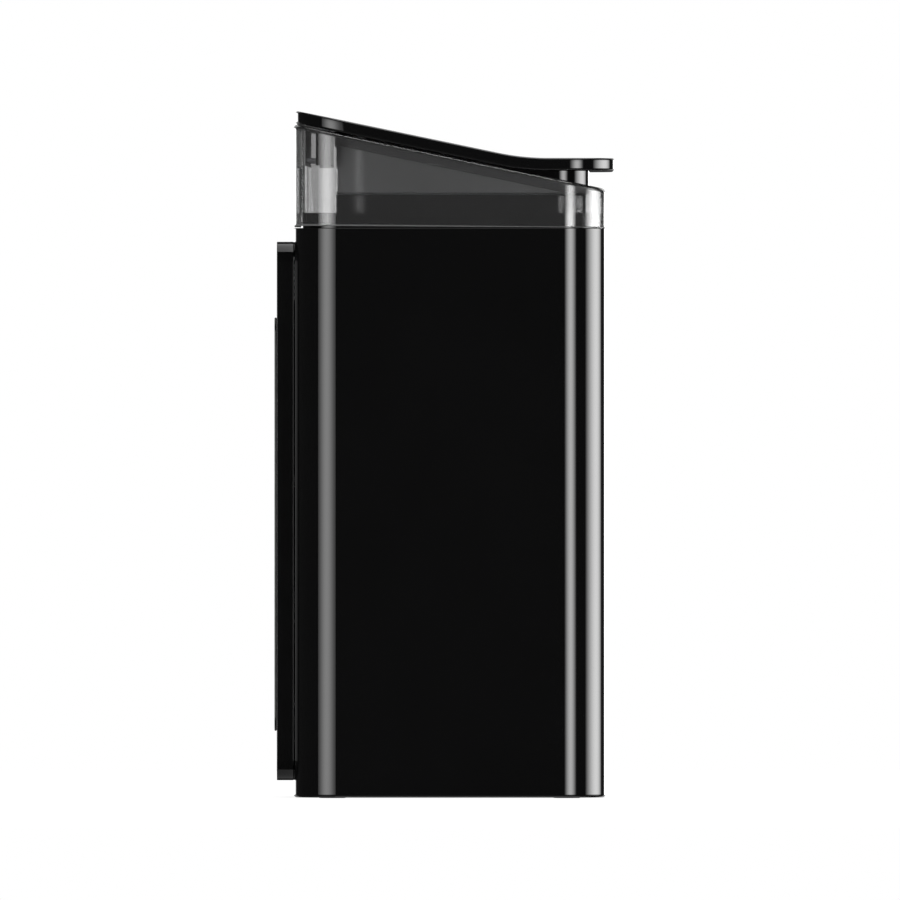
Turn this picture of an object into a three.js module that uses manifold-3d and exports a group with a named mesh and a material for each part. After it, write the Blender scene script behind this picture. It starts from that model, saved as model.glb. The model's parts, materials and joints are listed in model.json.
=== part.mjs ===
// Electric household trash compactor.
// Frame: millimetres, +Z up, the front faces -Y, the origin is the centre of the footprint on the floor.
// Depths inside the body are given as "in": the distance forward of the body's rear face.

import * as THREE from 'three';
import { mergeVertices } from 'three/addons/utils/BufferGeometryUtils.js';
import Module from 'manifold-3d';

const wasm = await Module();
wasm.setup();

// Driving dimensions
const BODY_WIDTH = 310;
const BODY_DEPTH = 331;
const BODY_BOTTOM = 0.7;
const BODY_TOP = 605.5;
const CORNER = 45;
const SHELL_WALL = 2;
const GAP = 0.3;
const BASE_Z = 3;
const BASE_WALL = 3;
const BASE_HEIGHT = 11;
const FOOT_RADIUS = 14;
const FOOT_X = 114;
const FOOT_FRONT_IN = 290;
const FOOT_REAR_IN = 41;
const LID_OVERHANG = 9.5;
const HOUSING_PROUD = 18.1;
const COVER_PROUD = 2.7;
const TOTAL_DEPTH = LID_OVERHANG + BODY_DEPTH + HOUSING_PROUD + COVER_PROUD;
const REAR = -TOTAL_DEPTH / 2 + LID_OVERHANG + BODY_DEPTH;
const HALF = BODY_WIDTH / 2;

// Lid: a straight slope from the rear, a wide arc, and a flat front lip
const LID_SLOPE = 0.2083;
const LID_TILT = Math.atan(LID_SLOPE);
const LID_REAR_TOP = 730;
const LID_FLAT_TOP = 679.7;
const LID_THICK = 12.9;
const LID_REAR_IN = 2.1;
const LID_ARC = 259;
const LID_EDGE = 2;
const LID_SKIN = 2;
const FRONT_IN = BODY_DEPTH + LID_OVERHANG;
const BUTTON_IN = 324;
const BUTTON_X = 17;
const BUTTON = 7;
const BUTTON_SEAT = 673;
const BAY_HALF_X = 30;
const BAY_HALF_Y = 11;
const BAY_ROOF = 672.5;
const BOARD_Z = [669.1, 671];

// Collar and the frame that plugs into it
const COLLAR_WALL = 3;
const COLLAR_REAR_TOP = 715.9;
const COLLAR_FRONT_BOTTOM = 606;
const COLLAR_REAR_BOTTOM = 607.9;
const MOUTH_INSET = 11.5;
const PLUG_INSET = 17.3;
const PLUG_REAR_IN = 43;
const PLUG_BAND = 13;
const HOUSING_BOTTOM = 643;

// Bucket
const BUCKET_INSET = 7;
const BUCKET_WALL = 2;
const BUCKET_FLOOR = 3;
const BUCKET_Z = [6.3, 597];
const RIM_PROUD = 3;
const RIM_HEIGHT = 7;

// Deck and hopper ring
const DECK_BOTTOM = 601;
const DECK_TOP = 605.2;
const SPIGOT_TOP = 621.6;
const SPIGOT_INSET = 8;
const SPIGOT_WALL = 3;
const RING_INSET = 20;
const RING_WALL = 4;
const RING_TOP = 641;
const RING_CORNER = 33;

// Hinge
const HINGE_IN = 8.6;
const HINGE_Z = 722.5;
const HINGE_X = 60;
const KNUCKLE = 3.8;
const PIN = 2;
const PIN_PLAY = 0.25;
const ARM_WIDE = 12;
const SLOT_WIDE = 15;
const HINGE_BOX_FRONT = 41.5;
const HINGE_BOX_REAR = 10.5;
const HINGE_BOX_BOTTOM = 672;
const HINGE_BOX_HALF = 138;
const HINGE_BOX_WALL = 2.5;
const HINGE_SLOT_IN = [24.5, 38.5];
const HINGE_PLATE_HALF = 120;
const HINGE_PLATE_IN = [14, 37.5];
const HINGE_PLATE_Z = [676, 680];
const NECK_IN = [26, 37];

// Lock
const LOCK_IN = 180;
const LOCK_Z = 655;
const LOCK_BOLT = 3;
const LOCK_BOLT_X = [138.2, 147.5];
const LOCK_BODY_X = [139.2, 150.5];
const LOCK_TONGUE_X = [136, 143.4];
const LOCK_TOP = 668;
const LOCK_HALF = 15;
const LOCK_FOOT_HALF = 12;

// Scissor that drives the ram
const ARM_LENGTH = 220;
const PIVOT_IN = 64;
const PIVOT_Z = 648;
const REST_DROP = 15;
const ARM_HALF = 5.5;
const ARM_A_X = 90;
const ARM_B_X = 96;
const ARM_THICK = 4;
const SHAFT = 4;
const ROLLER = 5;
const LOWER_TRACK_X = 84;
const UPPER_TRACK_X = 101.5;
const BRACKET_X = 108;
const RAM_BOTTOM = 619;
const RAM_TOP = 626;
const RAM_FLOOR = 3;
const RAM_INSET = 28;
const RAM_IN = [52, 297];
const RAM_CORNER = 24;
const RAM_BAYS = [[-42, 42], [48, 80], [88, 104], [112, 121], [-80, -48], [-104, -88], [-121, -112]];
const RAM_BAY_IN = [71, 278];
const TRACK_THICK = 3;
const TRACK_EDGE = 7.5;
const TRACK_REAR_IN = PIVOT_IN + 90;

// Gear pair
const MODULE = 1.25;
const SECTOR_TEETH = 60;
const PINION_TEETH = 15;
const MESH_ANGLE = THREE.MathUtils.degToRad(30);
const GEAR_X = 73;
const GEAR_FACE = 6;
const BACKLASH = 0.08;
const PRESSURE_ANGLE = Math.PI / 9;
const PINION_SHAFT = 3;
const MOTOR_CAN = 17;
const GEARBOX = 18;
const GEARBOX_X = [21, 58];
const MOTOR_REAR_X = -62;
const MOTOR_BOSS = 8;
const MOTOR_BOSS_X = -68;

// Rear case, its cover and what it holds
const HOUSING_HALF = 118;
const HOUSING_Z = [18.7, 591];
const HOUSING_WALL = 2.5;
const HOUSING_CORNER = 21;
const COVER_HALF = 88;
const COVER_Z = [71, 510.6];
const COVER_CORNER = 14;
const COVER_LIP = 9;
const SWITCH_AT = [45, 45];
const SWITCH_HALF = [10.6, 7.6];
const INLET_AT = [-45, 45];
const INLET_HALF = [13.6, 9.6];
const ROCKER = 6;
const ROCKER_HALF = 8.8;
const FAN_Z = 550;
const FAN_HALF = 35;
const FAN_BORE = 31;
const FAN_DEPTH = 12;
const FAN_HUB = 10;
const FAN_BLADES = 7;
const VENT_ROWS = 7;
const VENT_PITCH = 7;
const VENT_HEIGHT = 3.4;
const FILTER_Z = [350, 495];
const SUPPLY_Z = [225, 330];
const BOARD_AREA_Z = [95, 205];
const ELECTRICS_HALF = 70;

const scene = new THREE.Group();
const black = { color: 0x0b0b0c, roughness: 0.15, metalness: 0 };
const satin = { color: 0x141415, roughness: 0.45, metalness: 0 };
const grey = { color: 0x4a4b4d, roughness: 0.5, metalness: 0 };
const smoke = { color: 0x5a5b5d, roughness: 0.08, metalness: 0 };
const steel = { color: 0x9a9ca0, roughness: 0.35, metalness: 1 };
const brass = { color: 0xb08d4a, roughness: 0.35, metalness: 1 };
const rubber = { color: 0x1c1c1c, roughness: 0.9, metalness: 0 };
const green = { color: 0x1d5a34, roughness: 0.5, metalness: 0 };
const carbon = { color: 0x26282a, roughness: 0.95, metalness: 0 };
const white = { color: 0xd8d9da, roughness: 0.4, metalness: 0 };

// ---- Solids -----------------------------------------------------------------------------------

/** The y of a point that lies a distance forward of the body's rear face. */
const yAt = (distanceIn) => REAR - distanceIn;

/** A closed geometry as a solid that can be joined and cut. */
function solid(geometry) {
  const bare = geometry.clone();
  bare.deleteAttribute('normal');
  bare.deleteAttribute('uv');
  const merged = mergeVertices(bare, 1e-4);
  const mesh = new wasm.Mesh({
    numProp: 3,
    vertProperties: new Float32Array(merged.attributes.position.array),
    triVerts: new Uint32Array(merged.index.array),
  });
  return new wasm.Manifold(mesh);
}

/** Adds a solid to the model as a named mesh with a material of its own. */
function part(name, body, look) {
  const { vertProperties, triVerts } = body.getMesh();
  const geometry = new THREE.BufferGeometry();
  geometry.setAttribute('position', new THREE.BufferAttribute(vertProperties, 3));
  geometry.setIndex(new THREE.BufferAttribute(triVerts, 1));
  geometry.computeVertexNormals();
  const mesh = new THREE.Mesh(geometry, new THREE.MeshStandardMaterial(look));
  mesh.name = name;
  scene.add(mesh);
}

/** A box between two corners. */
function block(x0, x1, y0, y1, z0, z1) {
  const box = new THREE.BoxGeometry(Math.abs(x1 - x0), Math.abs(y1 - y0), Math.abs(z1 - z0));
  return solid(box.translate((x0 + x1) / 2, (y0 + y1) / 2, (z0 + z1) / 2));
}

/** A cylinder along the X axis, centred on y, z. */
function barX(radius, x0, x1, y, z, sides = 20) {
  const bar = new THREE.CylinderGeometry(radius, radius, Math.abs(x1 - x0), sides);
  return solid(bar.rotateZ(Math.PI / 2).translate((x0 + x1) / 2, y, z));
}

/** A cylinder along the Y axis, centred on x, z. */
function barY(radius, y0, y1, x, z, sides = 20) {
  const bar = new THREE.CylinderGeometry(radius, radius, Math.abs(y1 - y0), sides);
  return solid(bar.translate(x, (y0 + y1) / 2, z));
}

/** A cylinder along the Z axis, centred on x, y. */
function barZ(radius, z0, z1, x, y, sides = 24) {
  const bar = new THREE.CylinderGeometry(radius, radius, z1 - z0, sides);
  return solid(bar.rotateX(Math.PI / 2).translate(x, y, (z0 + z1) / 2));
}

/** A rounded rectangle as a shape. */
function roundedShape(x0, x1, y0, y1, radius) {
  const shape = new THREE.Shape();
  shape.absarc(x1 - radius, y1 - radius, radius, 0, Math.PI / 2);
  shape.absarc(x0 + radius, y1 - radius, radius, Math.PI / 2, Math.PI);
  shape.absarc(x0 + radius, y0 + radius, radius, Math.PI, Math.PI * 1.5);
  shape.absarc(x1 - radius, y0 + radius, radius, Math.PI * 1.5, Math.PI * 2);
  return shape;
}

/** A plan outline that stands z0 to z1: inset from the body at the sides and front, and from its rear face. */
function column(inset, rearIn, z0, z1, radius, frontInset = inset) {
  const shape = roundedShape(
    -HALF + inset, HALF - inset, yAt(BODY_DEPTH - frontInset), yAt(rearIn), radius,
  );
  const options = { depth: z1 - z0, bevelEnabled: false, curveSegments: 4 };
  return solid(new THREE.ExtrudeGeometry(shape, options).translate(0, 0, z0));
}

/** A shape drawn in the y, z plane and extruded along X. */
function slab(shape, x0, x1, segments = 4) {
  const options = { depth: x1 - x0, bevelEnabled: false, curveSegments: segments };
  const geometry = new THREE.ExtrudeGeometry(shape, options);
  const basis = new THREE.Matrix4().makeBasis(
    new THREE.Vector3(0, 1, 0), new THREE.Vector3(0, 0, 1), new THREE.Vector3(1, 0, 0),
  );
  return solid(geometry.applyMatrix4(basis).translate(x0, 0, 0));
}

/** A polygon of [in, z] corners as a shape in the y, z plane. */
function profile(corners) {
  return new THREE.Shape(corners.map(([distanceIn, z]) => new THREE.Vector2(yAt(distanceIn), z)));
}

/** A rounded rectangle in the x, z plane, extruded along Y. */
function panelY(x0, x1, z0, z1, radius, y0, y1) {
  const shape = roundedShape(x0, x1, z0, z1, radius);
  const geometry = new THREE.ExtrudeGeometry(shape, { depth: y1 - y0, bevelEnabled: false, curveSegments: 3 });
  return solid(geometry.rotateX(Math.PI / 2).translate(0, y1, 0));
}

/** Runs a maker once for the left side (-1) and once for the right side (+1). */
function bothSides(make) {
  make('left', -1);
  make('right', 1);
}

/** The two x limits of a plate centred on a distance from the middle, on one side. */
function plateX(centre, thickness, side) {
  return [centre * side - thickness / 2, centre * side + thickness / 2];
}

// ---- Lines that the lid and collar share ------------------------------------------------------

const collarTopAt = (distanceIn) => COLLAR_REAR_TOP - LID_SLOPE * distanceIn;
const lidTopAt = (distanceIn) => LID_REAR_TOP - LID_SLOPE * (distanceIn - LID_REAR_IN);
const bendIn = LID_REAR_IN + (LID_REAR_TOP - LID_FLAT_TOP) / LID_SLOPE;

/** One face of the lid as [in, z] points: the face that lies a depth below the top one. */
function lidLine(depth, rearIn, frontIn) {
  const radius = LID_ARC + depth;
  const centreIn = bendIn + LID_ARC * Math.tan(LID_TILT / 2);
  const centreZ = LID_FLAT_TOP + LID_ARC;
  const drop = depth / Math.cos(LID_TILT);
  const steps = 8;
  const points = [[rearIn, lidTopAt(rearIn) - drop]];
  for (let i = 0; i <= steps; i += 1) {
    const angle = LID_TILT * (1 - i / steps);
    points.push([centreIn - radius * Math.sin(angle), centreZ - radius * Math.cos(angle)]);
  }
  points.push([frontIn, LID_FLAT_TOP - depth]);
  return points;
}

/** Everything under the lid's lower face, less a gap: cuts pieces to fit beneath the lid. */
function underLid(clearance) {
  const line = lidLine(LID_THICK + clearance, -20, BODY_DEPTH + 30);
  return slab(profile([...line, [BODY_DEPTH + 30, 500], [-20, 500]]), -HALF - 5, HALF + 5);
}

// ---- Body -------------------------------------------------------------------------------------

function makeBase() {
  const inset = SHELL_WALL + GAP;
  const inner = inset + BASE_WALL;
  const pan = column(inset, inset, BASE_Z, BASE_Z + BASE_HEIGHT, CORNER - inset);
  const hollow = column(inner, inner, BASE_Z + BASE_WALL, BASE_Z + 2 * BASE_HEIGHT, CORNER - inner);
  part('base_plate', pan.subtract(hollow), satin);
  const corners = {
    front_left: [-FOOT_X, FOOT_FRONT_IN], front_right: [FOOT_X, FOOT_FRONT_IN],
    rear_left: [-FOOT_X, FOOT_REAR_IN], rear_right: [FOOT_X, FOOT_REAR_IN],
  };
  for (const [name, [x, distanceIn]] of Object.entries(corners)) {
    part(`foot_${name}`, barZ(FOOT_RADIUS, 0, BASE_Z - GAP, x, yAt(distanceIn)), rubber);
  }
}

/** The sheet metal tube, with a window for the fan and one for the motor's wires in its rear wall. */
function makeShell() {
  const outside = column(0, 0, BODY_BOTTOM, BODY_TOP, CORNER);
  const inside = column(SHELL_WALL, SHELL_WALL, -BASE_Z, BODY_TOP + BASE_Z, CORNER - SHELL_WALL);
  const airHalf = 28;
  const wires = { half: 20, z0: 60, z1: 90, radius: 6 };
  const through = [REAR - 2 * SHELL_WALL, REAR + SHELL_WALL];
  const air = panelY(-airHalf, airHalf, FAN_Z - airHalf, FAN_Z + airHalf, airHalf, ...through);
  const wire = panelY(-wires.half, wires.half, wires.z0, wires.z1, wires.radius, ...through);
  part('outer_shell', outside.subtract(inside).subtract(air).subtract(wire), black);
}

function makeBucket() {
  const [bottom, top] = BUCKET_Z;
  const rimInset = BUCKET_INSET - RIM_PROUD;
  const inner = BUCKET_INSET + BUCKET_WALL;
  const pail = column(BUCKET_INSET, BUCKET_INSET, bottom, top, CORNER - BUCKET_INSET);
  const rim = column(rimInset, rimInset, top - RIM_HEIGHT, top, CORNER - rimInset);
  const hollow = column(inner, inner, bottom + BUCKET_FLOOR, top + RIM_HEIGHT, CORNER - inner);
  part('bucket', pail.add(rim).subtract(hollow), grey);
}

/** The opening that waste falls through, as a column from z0 to z1. */
function mouthBore(z0, z1) {
  return column(RING_INSET + RING_WALL, PLUG_REAR_IN + 1 + RING_WALL, z0, z1, RING_CORNER - RING_WALL);
}

function makeDeck() {
  const edge = SHELL_WALL + GAP;
  const inner = SPIGOT_INSET + SPIGOT_WALL;
  const plate = column(edge, edge, DECK_BOTTOM, DECK_TOP, CORNER - edge);
  const spigot = column(SPIGOT_INSET, SPIGOT_INSET, DECK_BOTTOM, SPIGOT_TOP, CORNER - SPIGOT_INSET);
  const bore = column(inner, inner, DECK_TOP, SPIGOT_TOP + 1, CORNER - inner);
  part('top_deck', plate.add(spigot).subtract(bore).subtract(mouthBore(DECK_BOTTOM - 1, SPIGOT_TOP)), black);
}

function makeHopperRing() {
  const outside = column(RING_INSET, PLUG_REAR_IN + 1, DECK_TOP + GAP, RING_TOP, RING_CORNER);
  part('hopper_ring', outside.subtract(mouthBore(DECK_TOP, RING_TOP + 1)), black);
}

// ---- Collar and hinge -------------------------------------------------------------------------

/** The collar's side outline, lowered and inset: a slanted top and softened upper corners. */
function collarSide(inset, drop) {
  const shape = new THREE.Shape();
  const soft = 6;
  const rear = inset;
  const front = BODY_DEPTH - inset;
  const top = (distanceIn) => collarTopAt(distanceIn) - drop;
  shape.moveTo(yAt(rear), COLLAR_REAR_BOTTOM);
  shape.lineTo(yAt(rear), top(rear) - soft * 1.3);
  shape.quadraticCurveTo(yAt(rear), top(rear), yAt(rear + soft * 1.3), top(rear + soft * 1.3));
  shape.lineTo(yAt(front - soft), top(front - soft));
  shape.quadraticCurveTo(yAt(front), top(front), yAt(front), top(front) - soft);
  shape.lineTo(yAt(front), COLLAR_FRONT_BOTTOM);
  return shape;
}

function makeCollar() {
  const plan = column(0, 0, 600, 740, CORNER);
  const outside = slab(collarSide(0, 0), -HALF - 5, HALF + 5, 5).intersect(plan);
  const innerPlan = column(COLLAR_WALL, COLLAR_WALL, 590, 740, CORNER - COLLAR_WALL);
  const under = profile([
    [-5, 590], [-5, collarTopAt(-5) - COLLAR_WALL], [BODY_DEPTH + 5, collarTopAt(BODY_DEPTH + 5) - COLLAR_WALL],
    [BODY_DEPTH + 5, 590],
  ]);
  const inside = innerPlan.intersect(slab(under, -HALF - 5, HALF + 5));
  const mouth = column(MOUTH_INSET, 10.2, 600, 750, CORNER - MOUTH_INSET);
  part('collar', outside.subtract(inside).subtract(mouth), smoke);
}

/** A slanted box under the collar's top with a slot in its roof for each hinge arm, and its inner plate. */
function makeHingeHousing() {
  const top = (distanceIn) => collarTopAt(distanceIn) - 1;
  const outline = (wall) => {
    const [rear, front, bottom] = [HINGE_BOX_REAR + wall, HINGE_BOX_FRONT - wall, HINGE_BOX_BOTTOM - wall];
    return profile([[rear, bottom], [rear, top(rear) - wall], [front, top(front) - wall], [front, bottom]]);
  };
  const inner = HINGE_BOX_HALF - HINGE_BOX_WALL;
  let box = slab(outline(0), -HINGE_BOX_HALF, HINGE_BOX_HALF);
  box = box.subtract(slab(outline(HINGE_BOX_WALL), -inner, inner));
  bothSides((name, side) => {
    const [x0, x1] = plateX(HINGE_X, SLOT_WIDE, side);
    box = box.subtract(block(x0, x1, yAt(HINGE_SLOT_IN[1]), yAt(HINGE_SLOT_IN[0]), 690, LID_REAR_TOP));
  });
  const plan = column(MOUTH_INSET + 1, HINGE_BOX_REAR, DECK_BOTTOM, LID_REAR_TOP, CORNER - MOUTH_INSET);
  part('hinge_housing', box.intersect(plan), satin);
  const [rear, front] = HINGE_PLATE_IN;
  const plate = block(-HINGE_PLATE_HALF, HINGE_PLATE_HALF, yAt(front), yAt(rear), ...HINGE_PLATE_Z);
  part('hinge_plate', plate, steel);
}

/** A gooseneck that rises from the hinge plate, enters the lid's pocket and carries the pin. */
function makeHingeArm(name, side) {
  const [x0, x1] = plateX(HINGE_X, ARM_WIDE, side);
  const foot = HINGE_PLATE_Z[1] + GAP;
  const [inner, outer] = NECK_IN;
  const cheek = KNUCKLE - 0.2;
  const start = HINGE_IN + 0.5;
  const neck = profile([
    [start, HINGE_Z + cheek], [outer, HINGE_Z - 3.1], [outer, foot], [inner, foot], [inner, HINGE_Z - 8.5],
    [start + 4.4, HINGE_Z - 4.1], [start, HINGE_Z - cheek],
  ]);
  const knuckle = barX(KNUCKLE, x0, x1, yAt(HINGE_IN), HINGE_Z);
  const bore = barX(PIN + PIN_PLAY, x0 - 1, x1 + 1, yAt(HINGE_IN), HINGE_Z, 24);
  part(`hinge_arm_${name}`, slab(neck, x0, x1).add(knuckle).subtract(bore), steel);
}

// ---- Lid --------------------------------------------------------------------------------------

/** The lid's side outline with softened ends. */
function lidSide() {
  const top = lidLine(0, LID_REAR_IN + LID_EDGE, FRONT_IN - LID_EDGE);
  const bottom = lidLine(LID_THICK, LID_REAR_IN + LID_EDGE, FRONT_IN - LID_EDGE).reverse();
  const rearBottom = bottom[bottom.length - 1][1];
  const rearTop = top[0][1];
  const frontZ = LID_FLAT_TOP;
  const soften = 0.29 * LID_EDGE;
  const front = [
    [FRONT_IN - soften, frontZ - soften], [FRONT_IN, frontZ - LID_EDGE],
    [FRONT_IN, frontZ - LID_THICK + LID_EDGE], [FRONT_IN - soften, frontZ - LID_THICK + soften],
  ];
  const rear = [
    [LID_REAR_IN + soften, rearBottom + soften], [LID_REAR_IN, rearBottom + LID_EDGE],
    [LID_REAR_IN, rearTop - LID_EDGE], [LID_REAR_IN + soften, rearTop - soften],
  ];
  return profile([...top, ...front, ...bottom, ...rear]);
}

/** Space in the lid's underside for a hinge arm, with its two pin holes. */
function hingePocket(side) {
  const [x0, x1] = plateX(HINGE_X, SLOT_WIDE, side);
  const rear = HINGE_IN - KNUCKLE - 0.6;
  const front = 40;
  const mouth = 700;
  const pocket = slab(profile([
    [rear, mouth], [rear, lidTopAt(rear) - LID_SKIN], [front, lidTopAt(front) - LID_SKIN], [front, mouth],
  ]), x0, x1);
  const [pin0, pin1] = plateX(HINGE_X, 2 * ARM_WIDE + 1, side);
  return pocket.add(barX(PIN + PIN_PLAY, pin0, pin1, yAt(HINGE_IN), HINGE_Z, 24));
}

function makeLidPanel() {
  const bottom = LID_FLAT_TOP - LID_THICK;
  const plan = solid(new THREE.ExtrudeGeometry(
    roundedShape(-HALF, HALF, yAt(FRONT_IN), yAt(LID_REAR_IN), CORNER + 3),
    { depth: LID_REAR_TOP - bottom + 2, bevelEnabled: false, curveSegments: 5 },
  ).translate(0, 0, bottom - 1));
  let panel = slab(lidSide(), -HALF - 1, HALF + 1).intersect(plan);
  bothSides((name, side) => {
    panel = panel.subtract(hingePocket(side));
    const hole = barZ(BUTTON + 0.4, BOARD_Z[1], LID_FLAT_TOP + 1, side * BUTTON_X, yAt(BUTTON_IN));
    panel = panel.subtract(hole);
  });
  const bay = (play, z0, z1) => {
    const [halfX, halfY] = [BAY_HALF_X - play, BAY_HALF_Y - play];
    return block(-halfX, halfX, yAt(BUTTON_IN + halfY), yAt(BUTTON_IN - halfY), z0, z1);
  };
  part('lid_panel', panel.subtract(bay(0, bottom - 1, BAY_ROOF)), black);
  part('button_board', bay(GAP, ...BOARD_Z), green);
  part('button_cover', bay(GAP, bottom, BOARD_Z[0] - GAP), black);
}

function makeButtons() {
  bothSides((name, side) => {
    const button = barZ(BUTTON, BUTTON_SEAT, LID_FLAT_TOP, side * BUTTON_X, yAt(BUTTON_IN));
    part(side < 0 ? 'start_button' : 'stop_button', button, side < 0 ? white : satin);
    const [x0, x1] = plateX(HINGE_X, 2 * ARM_WIDE, side);
    part(`hinge_pin_${name}`, barX(PIN, x0, x1, yAt(HINGE_IN), HINGE_Z, 24), steel);
  });
}

function makePlugFrame() {
  const under = underLid(GAP);
  const shell = column(PLUG_INSET, PLUG_REAR_IN, 600, 740, 33)
    .subtract(column(PLUG_INSET + 2, PLUG_REAR_IN + 2, 590, 750, 31));
  const bottom = (distanceIn) => Math.max(collarTopAt(distanceIn) - PLUG_BAND, HOUSING_BOTTOM);
  const flatIn = (COLLAR_REAR_TOP - PLUG_BAND - HOUSING_BOTTOM) / LID_SLOPE;
  const band = slab(profile([
    [0, bottom(0)], [flatIn, HOUSING_BOTTOM], [BODY_DEPTH, HOUSING_BOTTOM], [BODY_DEPTH, 740], [0, 740],
  ]), -HALF, HALF);
  part('plug_frame', shell.intersect(band).intersect(under), black);
}

function makeDriveHousing() {
  const inset = PLUG_INSET + 2 + GAP;
  const rear = PLUG_REAR_IN + 2 + GAP;
  let shell = column(inset, rear, HOUSING_BOTTOM, 740, 30.7)
    .subtract(column(inset + 2.5, rear + 2.5, 590, 750, 28.2))
    .intersect(underLid(GAP));
  shell = shell.subtract(barX(LOCK_BOLT + 1, 120, HALF, yAt(LOCK_IN), LOCK_Z, 24));
  part('drive_housing', shell, grey);
}

// ---- Lock -------------------------------------------------------------------------------------

/** A solenoid body that stands on the deck beside the hopper ring, with a bore for its bolt. */
function makeLock() {
  const y = yAt(LOCK_IN);
  const [inner, outer] = LOCK_BODY_X;
  const [tongue0, tongue1] = LOCK_TONGUE_X;
  const across = [y - LOCK_FOOT_HALF, y + LOCK_FOOT_HALF];
  const body = block(inner, outer, y - LOCK_HALF, y + LOCK_HALF, RING_TOP - 1, LOCK_TOP);
  const foot = block(tongue0, tongue1, ...across, DECK_TOP + GAP, RING_TOP - 0.5);
  const neck = block(inner, tongue1, ...across, RING_TOP - 2, RING_TOP);
  const bore = barX(LOCK_BOLT + GAP, inner - 1, LOCK_BOLT_X[1] + 1.5, y, LOCK_Z, 24);
  part('lock_solenoid', body.add(foot).add(neck).subtract(bore), satin);
  part('lock_bolt', barX(LOCK_BOLT, ...LOCK_BOLT_X, y, LOCK_Z, 24), steel);
}

// ---- Scissor and ram --------------------------------------------------------------------------

const restAngle = Math.asin(REST_DROP / ARM_LENGTH);
const reach = ARM_LENGTH * Math.cos(restAngle);
const points = {
  top: [PIVOT_IN, PIVOT_Z],
  bottom: [PIVOT_IN, PIVOT_Z - REST_DROP],
  middle: [PIVOT_IN + reach / 2, PIVOT_Z - REST_DROP / 2],
  upperFront: [PIVOT_IN + reach, PIVOT_Z],
  lowerFront: [PIVOT_IN + reach, PIVOT_Z - REST_DROP],
};

/** A flat link with round ends and three bores, from one point to another. */
function link(from, to, centreX) {
  const x0 = centreX - ARM_THICK / 2;
  const x1 = centreX + ARM_THICK / 2;
  const run = to[0] - from[0];
  const rise = to[1] - from[1];
  const length = Math.hypot(run, rise);
  const waist = 4;
  const across = [(-rise / length) * waist, (run / length) * waist];
  const corners = [
    [from[0] + across[0], from[1] + across[1]], [to[0] + across[0], to[1] + across[1]],
    [to[0] - across[0], to[1] - across[1]], [from[0] - across[0], from[1] - across[1]],
  ];
  let body = slab(profile(corners), x0, x1);
  const stops = [from, points.middle, to];
  for (const [distanceIn, z] of stops) body = body.add(barX(ARM_HALF, x0, x1, yAt(distanceIn), z));
  for (const [distanceIn, z] of stops) {
    body = body.subtract(barX(SHAFT + GAP, x0 - 1, x1 + 1, yAt(distanceIn), z));
  }
  return body;
}

function makeArms() {
  bothSides((name, side) => {
    part(`scissor_arm_a_${name}`, link(points.top, points.lowerFront, ARM_A_X * side), steel);
    part(`scissor_arm_b_${name}`, link(points.bottom, points.upperFront, ARM_B_X * side), steel);
  });
}

/** A straight cross shaft through one point of the scissor. */
function shaft([distanceIn, z], halfLength) {
  return barX(SHAFT, -halfLength, halfLength, yAt(distanceIn), z);
}

/** A cross shaft with a roller near each end. */
function rollerShaft(point, centreX, halfLength) {
  const y = yAt(point[0]);
  let body = shaft(point, halfLength);
  bothSides((name, side) => {
    const [x0, x1] = plateX(centreX, 3.4, side);
    body = body.add(barX(ROLLER, x0, x1, y, point[1]));
  });
  return body;
}

function makeShafts() {
  const past = BRACKET_X + 2;
  part('drive_shaft', shaft(points.top, past), steel);
  part('ram_shaft', shaft(points.bottom, past), steel);
  const [middleIn, middleZ] = points.middle;
  bothSides((name, side) => {
    const [x0, x1] = plateX((ARM_A_X + ARM_B_X) / 2, ARM_B_X - ARM_A_X + 6, side);
    part(`centre_pin_${name}`, barX(SHAFT, x0, x1, yAt(middleIn), middleZ), steel);
  });
  part('lower_rollers', rollerShaft(points.lowerFront, LOWER_TRACK_X, ARM_A_X + 2), white);
  part('upper_rollers', rollerShaft(points.upperFront, UPPER_TRACK_X, UPPER_TRACK_X + 1.7), white);
}

/** A side plate with a long slot that a roller runs in. */
function track(centreX, z, bottom, top, side) {
  const [x0, x1] = plateX(centreX, TRACK_THICK, side);
  const slotHalf = ROLLER + 0.5;
  const slotFront = PIVOT_IN + reach + slotHalf + GAP;
  const slot = roundedShape(yAt(slotFront), yAt(TRACK_REAR_IN + 4), z - slotHalf, z + slotHalf, slotHalf - 0.1);
  const plate = block(x0, x1, yAt(PIVOT_IN + reach + 9), yAt(TRACK_REAR_IN), bottom, top);
  return plate.subtract(slab(slot, x0 - 1, x1 + 1));
}

function makeTracks() {
  const lower = PIVOT_Z - REST_DROP;
  bothSides((name, side) => {
    const upper = track(UPPER_TRACK_X, PIVOT_Z, PIVOT_Z - TRACK_EDGE, COLLAR_REAR_TOP, side);
    part(`lid_track_${name}`, upper.intersect(underLid(GAP)), steel);
    part(`ram_track_${name}`, track(LOWER_TRACK_X, lower, RAM_TOP + GAP, lower + TRACK_EDGE, side), steel);
  });
}

/** Plates that carry the rear pivots: one pair hangs from the lid and one pair stands on the ram. */
function makeBrackets() {
  bothSides((name, side) => {
    const [x0, x1] = plateX(BRACKET_X, ARM_THICK, side);
    const hole = ([distanceIn, z]) => barX(SHAFT + GAP, x0 - 1, x1 + 1, yAt(distanceIn), z);
    const plate = (front, rear, z0, z1) => block(x0, x1, yAt(PIVOT_IN + front), yAt(PIVOT_IN - rear), z0, z1);
    const hanging = plate(14, 12, PIVOT_Z - 7, COLLAR_REAR_TOP).intersect(underLid(GAP));
    part(`pivot_bracket_${name}`, hanging.subtract(hole(points.top)), steel);
    const standing = plate(10, 8, RAM_TOP + GAP, PIVOT_Z - REST_DROP + 6.5);
    part(`ram_bracket_${name}`, standing.subtract(hole(points.bottom)), steel);
  });
}

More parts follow.
